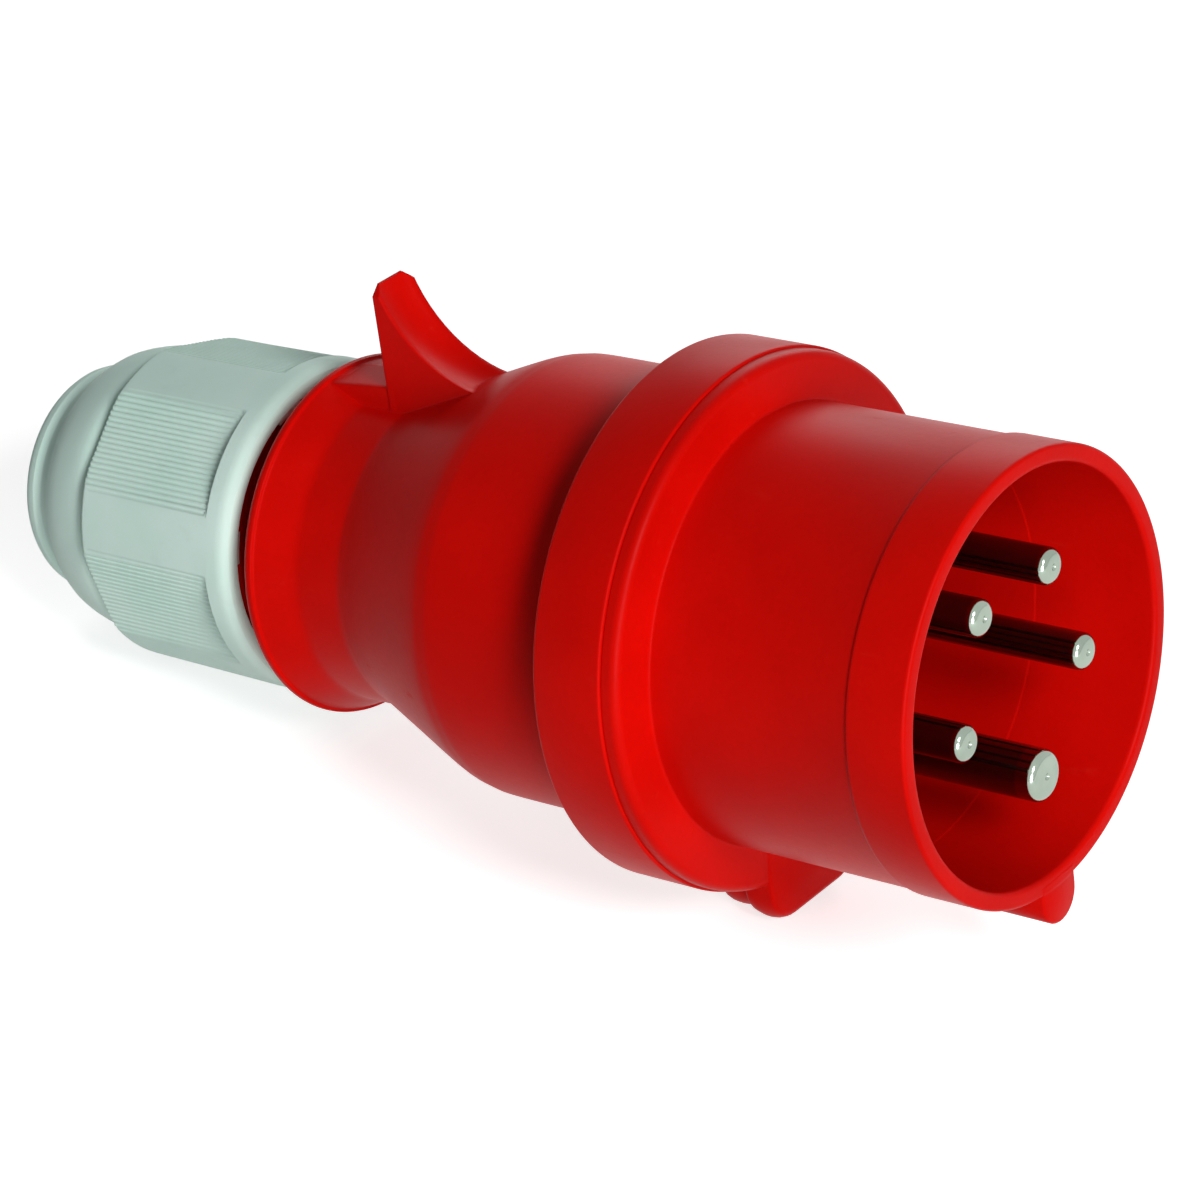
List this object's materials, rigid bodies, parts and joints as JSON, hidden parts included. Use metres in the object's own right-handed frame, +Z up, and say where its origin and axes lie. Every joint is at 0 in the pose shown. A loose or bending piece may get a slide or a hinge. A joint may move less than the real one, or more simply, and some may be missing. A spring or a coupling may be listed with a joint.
{
  "type": "industrial pin and sleeve plug",
  "caption": "Round industrial power plug: red sleeve with pins and a locating key, thumb fin on the waist, and a ribbed grey gland nut that clamps the cable.",
  "frame": {"origin": "on the table under the middle of the plug's bounding box, as it lies on the foot of its lug and the rear edge of its gland nut", "axes": "+X towards the mating end, +Z up; the plug's own axis rises towards +X by about 10.5 degrees"},
  "size_m": [0.1694, 0.0728, 0.0785],
  "materials": {
    "red_shell": "moulded nylon, satin gloss",
    "grey_green": "moulded nylon, fine matt",
    "carrier": "moulded nylon, matt",
    "block": "moulded nylon, matt",
    "contact": "nickel plated, polished",
    "screw": "zinc plated",
    "rubber": "soft matt",
    "cage": "moulded nylon, matt",
    "washer": "smooth acetal"
  },
  "bodies": {
    "plug": {"sleeve_housing": "red_shell", "rear_housing": "red_shell", "contact_carrier": "carrier", "terminal_block": "block", "carrier_screw": "screw", "pin_l1": "contact", "pin_l2": "contact", "pin_l3": "contact", "pin_n": "contact", "pin_pe": "contact", "screw_l1": "screw", "screw_l2": "screw", "screw_l3": "screw", "screw_n": "screw", "screw_pe": "screw", "housing_seal": "rubber", "cable_seal": "rubber", "clamp_cage": "cage"},
    "thrust": {"thrust_washer": "washer"},
    "nut": {"gland_nut": "grey_green"}
  },
  "joints": [
    {"name": "gland_travel", "type": "slide", "parent": "plug", "child": "thrust", "axis": [0.9834, 0, 0.1816], "range_m": [-0.006, 0.004]},
    {"name": "gland_turn", "type": "hinge", "parent": "thrust", "child": "nut", "pos_m": [-0.06355, 0, 0.02289], "axis": [0.9834, 0, 0.1816], "range_deg": [-720, 480]}
  ],
  "couplings": [
    {"joint": "gland_travel", "follows": "gland_turn", "m_per_rad": 0.00047746}
  ]
}
